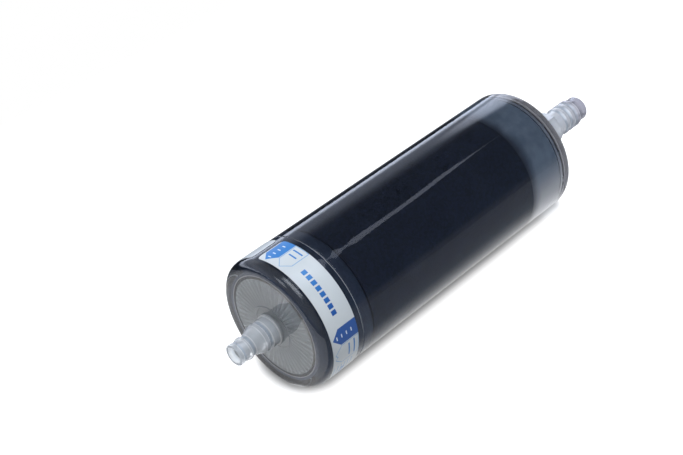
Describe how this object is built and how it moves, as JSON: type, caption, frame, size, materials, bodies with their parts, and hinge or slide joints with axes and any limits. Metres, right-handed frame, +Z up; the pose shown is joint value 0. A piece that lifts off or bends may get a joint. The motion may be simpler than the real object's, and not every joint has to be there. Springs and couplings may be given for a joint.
{
  "type": "capsule filter",
  "caption": "Clear cylindrical carbon capsule filter with a hose barb at each end, a flow-arrow label band and a packed granule bed inside.",
  "frame": {"origin": "on the filter's axis, at the middle of the housing's length between its two end faces", "axes": "+X along the axis from the outlet barb to the inlet barb, +Z up as it lies in the picture, +Y across"},
  "size_m": [0.2497, 0.0664, 0.0664],
  "materials": {
    "clear_housing": "clear polished acrylic",
    "clear_cap": "clear polished acrylic",
    "fitting": "natural translucent polypropylene, satin",
    "label": "printed film, satin",
    "filter_media": "glass fibre, matt",
    "plate": "natural polypropylene, matt",
    "carbon": "packed granular activated carbon",
    "pad": "grey wadding, dusted with carbon"
  },
  "bodies": {
    "root": {"housing_tube": "clear_housing", "outlet_cap": "clear_cap", "outlet_fitting": "fitting", "inlet_fitting": "fitting", "label_band": "label", "filter_disc": "filter_media", "outlet_plate": "plate", "carbon_bed": "carbon", "inlet_pad": "pad", "inlet_plate": "plate"}
  },
  "joints": []
}
